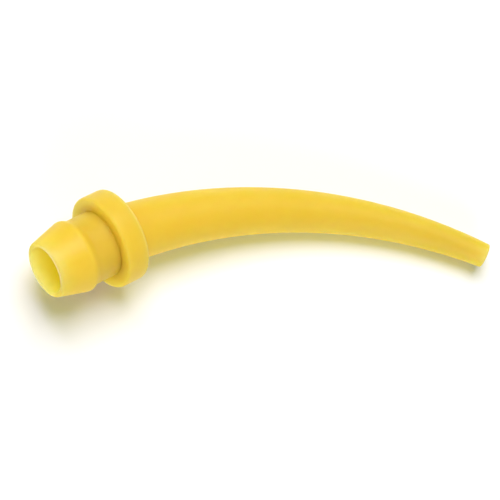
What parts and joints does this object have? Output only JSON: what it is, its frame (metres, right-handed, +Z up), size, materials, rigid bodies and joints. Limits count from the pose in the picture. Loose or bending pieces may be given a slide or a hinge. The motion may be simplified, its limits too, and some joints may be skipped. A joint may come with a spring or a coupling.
{
  "type": "curved intraoral dental tip",
  "caption": "Small yellow plastic dental tip lying on its side: a barbed snap plug, a round stop collar and a curved tapering cannula.",
  "frame": {"origin": "middle of the footprint, on the surface that the tip rests on", "axes": "+X from the open plug towards the cannula, +Z up, away from the surface; the cannula curves towards -Y"},
  "size_m": [0.0414, 0.0234, 0.0092],
  "materials": {
    "plug_plastic": "satin, slightly translucent",
    "collar_plastic": "satin, slightly translucent",
    "cannula_plastic": "satin, slightly translucent"
  },
  "bodies": {
    "root": {"snap_plug": "plug_plastic", "stop_collar": "collar_plastic", "curved_cannula": "cannula_plastic"}
  },
  "joints": []
}
